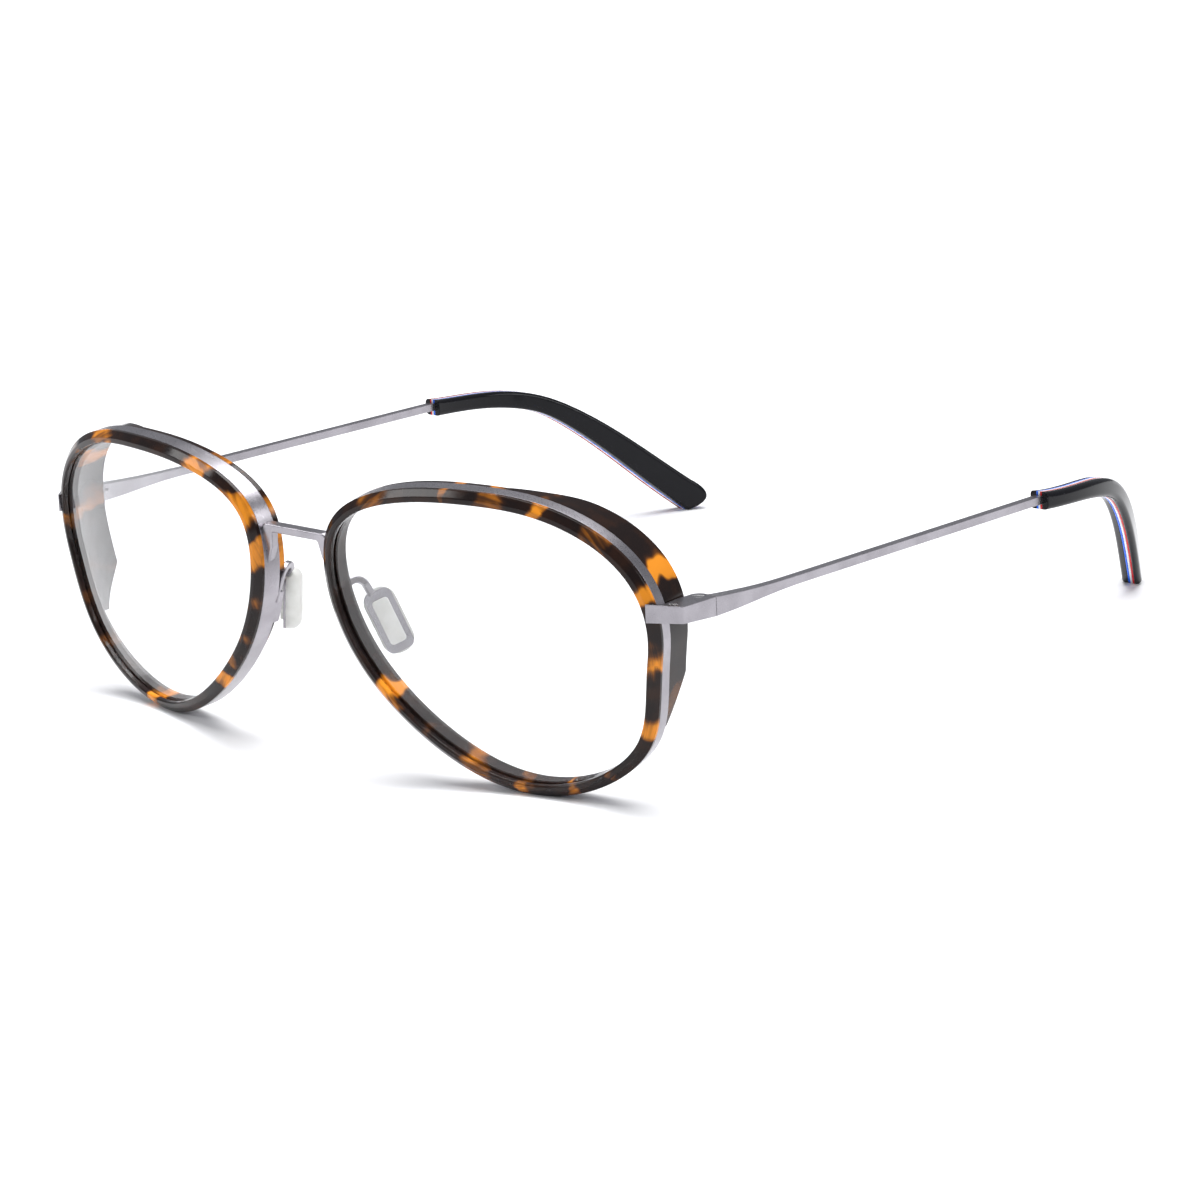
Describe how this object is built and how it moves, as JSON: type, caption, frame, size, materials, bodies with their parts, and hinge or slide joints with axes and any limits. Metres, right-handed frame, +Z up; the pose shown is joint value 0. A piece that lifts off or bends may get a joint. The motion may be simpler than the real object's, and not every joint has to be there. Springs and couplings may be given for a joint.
{
  "type": "eyeglasses",
  "caption": "Full-rim aviator-shaped eyeglasses: tortoise acetate rims in metal eyewires, side shields, adjustable nose pads and slim folding temples with laminated tips.",
  "frame": {"origin": "centre of the bounding box in plan, on the surface the open spectacles stand on", "axes": "+X to the wearer's left, the front faces -Y, the temples run back along +Y, +Z up"},
  "size_m": [0.1368, 0.1494, 0.0473],
  "materials": {
    "satin_metal": "satin",
    "tortoise_acetate": "polished, dark brown with amber patches",
    "clear_lens": "clear",
    "silicone": "translucent soft",
    "black_acetate": "polished",
    "red_acetate": "polished",
    "white_acetate": "polished",
    "blue_acetate": "polished",
    "screw_steel": "turned",
    "nylon": "plain"
  },
  "bodies": {
    "front": {"bridge": "satin_metal", "left_lens": "clear_lens", "left_acetate_rim": "tortoise_acetate", "left_eyewire": "satin_metal", "left_side_shield": "tortoise_acetate", "left_pad_arm": "satin_metal", "left_nose_pad": "silicone", "left_endpiece": "satin_metal", "left_lock_block": "satin_metal", "left_lock_screw": "screw_steel", "left_hinge_screw": "screw_steel", "left_hinge_washers": "nylon", "right_lens": "clear_lens", "right_acetate_rim": "tortoise_acetate", "right_eyewire": "satin_metal", "right_side_shield": "tortoise_acetate", "right_pad_arm": "satin_metal", "right_nose_pad": "silicone", "right_endpiece": "satin_metal", "right_lock_block": "satin_metal", "right_lock_screw": "screw_steel", "right_hinge_screw": "screw_steel", "right_hinge_washers": "nylon"},
    "left_temple": {"left_temple_arm": "satin_metal", "left_tip_outer_black": "black_acetate", "left_tip_red": "red_acetate", "left_tip_white": "white_acetate", "left_tip_blue": "blue_acetate", "left_tip_inner_black": "black_acetate"},
    "right_temple": {"right_temple_arm": "satin_metal", "right_tip_outer_black": "black_acetate", "right_tip_red": "red_acetate", "right_tip_white": "white_acetate", "right_tip_blue": "blue_acetate", "right_tip_inner_black": "black_acetate"}
  },
  "joints": [
    {"name": "left_temple_fold", "type": "hinge", "parent": "front", "child": "left_temple", "pos_m": [0.06495, -0.05551, 0.02999], "axis": [0, 0.0297, 0.9996], "range_deg": [0, 84]},
    {"name": "right_temple_fold", "type": "hinge", "parent": "front", "child": "right_temple", "pos_m": [-0.06495, -0.05551, 0.02999], "axis": [0, -0.0297, -0.9996], "range_deg": [0, 69]}
  ]
}
